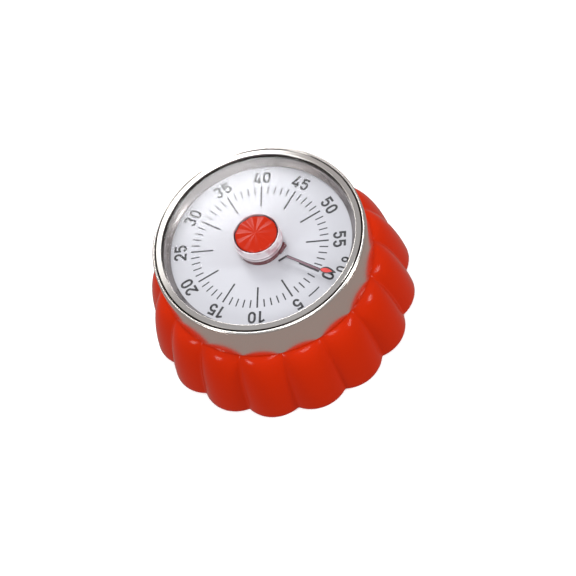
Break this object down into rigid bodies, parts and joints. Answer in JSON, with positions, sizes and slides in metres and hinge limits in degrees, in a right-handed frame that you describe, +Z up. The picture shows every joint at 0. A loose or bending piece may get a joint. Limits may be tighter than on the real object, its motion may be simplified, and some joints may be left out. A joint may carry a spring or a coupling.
{
  "type": "kitchen timer",
  "caption": "Round clockwork kitchen timer: scalloped glossy red body, turning steel ring with clear window, ridged red centre cap and pointer over a pale minute dial.",
  "frame": {"origin": "centre of the resting face, on the turning axis of the ring", "axes": "+Z up through the dial along the ring's turning axis, +Y from the axis towards the zero mark of the dial"},
  "size_m": [0.0802, 0.0802, 0.0396],
  "materials": {
    "red_abs": "gloss",
    "red_cap": "gloss",
    "white_abs": "satin",
    "stainless": "polished",
    "grey_ring": "satin",
    "clear_acrylic": "gloss",
    "printed_dial": "satin",
    "pointer_paint": "satin",
    "rubber": "matte",
    "zinc_steel": "satin",
    "spring_steel": "satin",
    "nickel_steel": "polished",
    "brass": "satin"
  },
  "bodies": {
    "base": {"housing": "red_abs", "base_cover": "red_abs", "foot_ring": "rubber", "cover_screws": "zinc_steel", "bell": "nickel_steel", "bell_post": "zinc_steel", "bell_screw": "zinc_steel", "back_plate": "zinc_steel", "front_plate": "zinc_steel", "plate_pillars": "zinc_steel", "pillar_nuts": "zinc_steel", "spindle_bushes": "brass", "spring_barrel": "zinc_steel", "hammer_stud": "zinc_steel", "hammer_spring": "spring_steel", "dial_carrier": "white_abs", "carrier_screws": "zinc_steel", "movement_screws": "zinc_steel", "dial": "printed_dial"},
    "ring": {"bezel_ring": "stainless", "retaining_ring": "grey_ring", "lens": "clear_acrylic", "centre_cap": "red_cap", "pointer": "pointer_paint", "drive_hub": "white_abs", "spindle": "zinc_steel", "ratchet_wheel": "spring_steel", "release_cam": "brass", "mainspring": "spring_steel"},
    "great": {"great_wheel": "brass", "click_pin": "zinc_steel"},
    "click": {"click": "spring_steel"},
    "second": {"second_arbor": "zinc_steel", "second_wheel": "brass"},
    "third": {"third_arbor": "zinc_steel", "third_wheel": "brass"},
    "escape": {"escape_arbor": "zinc_steel", "escape_wheel": "brass"},
    "pallet": {"pallet_arbor": "zinc_steel", "pallet_lever": "brass", "balance_bar": "zinc_steel"},
    "hammer": {"hammer_arm": "zinc_steel", "hammer_head": "brass"}
  },
  "joints": [
    {"name": "ring_turn", "type": "hinge", "parent": "base", "child": "ring", "pos_m": [0, 0, 0.03], "axis": [0, 0, 1], "range_deg": [-360, 0], "deforming": ["mainspring"]},
    {"name": "great_wheel_turn", "type": "hinge", "parent": "base", "child": "great", "pos_m": [0, 0, 0.0165], "axis": [0, 0, 1], "range_deg": [-360, 0]},
    {"name": "second_wheel_turn", "type": "hinge", "parent": "base", "child": "second", "pos_m": [-0.01522, -0.00554, 0.0175], "axis": [0, 0, 1], "range_deg": [0, 1800]},
    {"name": "third_wheel_turn", "type": "hinge", "parent": "base", "child": "third", "pos_m": [-0.00931, -0.01422, 0.0175], "axis": [0, 0, 1], "range_deg": [-7200, 0]},
    {"name": "escape_wheel_turn", "type": "hinge", "parent": "base", "child": "escape", "pos_m": [-0.00092, -0.01748, 0.0175], "axis": [0, 0, 1], "range_deg": [0, 28800]},
    {"name": "pallet_rock", "type": "hinge", "parent": "base", "child": "pallet", "pos_m": [0.00663, -0.01834, 0.0175], "axis": [0, 0, 1], "range_deg": [-5, 5]},
    {"name": "hammer_swing", "type": "hinge", "parent": "base", "child": "hammer", "pos_m": [0.00336, 0.01256, 0.0076], "axis": [0, 0, 1], "range_deg": [-6, 2], "stiffness_Nm_per_rad": 0.0004},
    {"name": "click_lift", "type": "hinge", "parent": "great", "child": "click", "pos_m": [0.0068, 0, 0.0176], "axis": [0, 0, 1], "range_deg": [-12, 0], "stiffness_Nm_per_rad": 0.0002}
  ],
  "couplings": [
    {"joint": "great_wheel_turn", "follows": "ring_turn", "ratio": 1},
    {"joint": "second_wheel_turn", "follows": "ring_turn", "ratio": -5},
    {"joint": "third_wheel_turn", "follows": "ring_turn", "ratio": 20},
    {"joint": "escape_wheel_turn", "follows": "ring_turn", "ratio": -80}
  ]
}
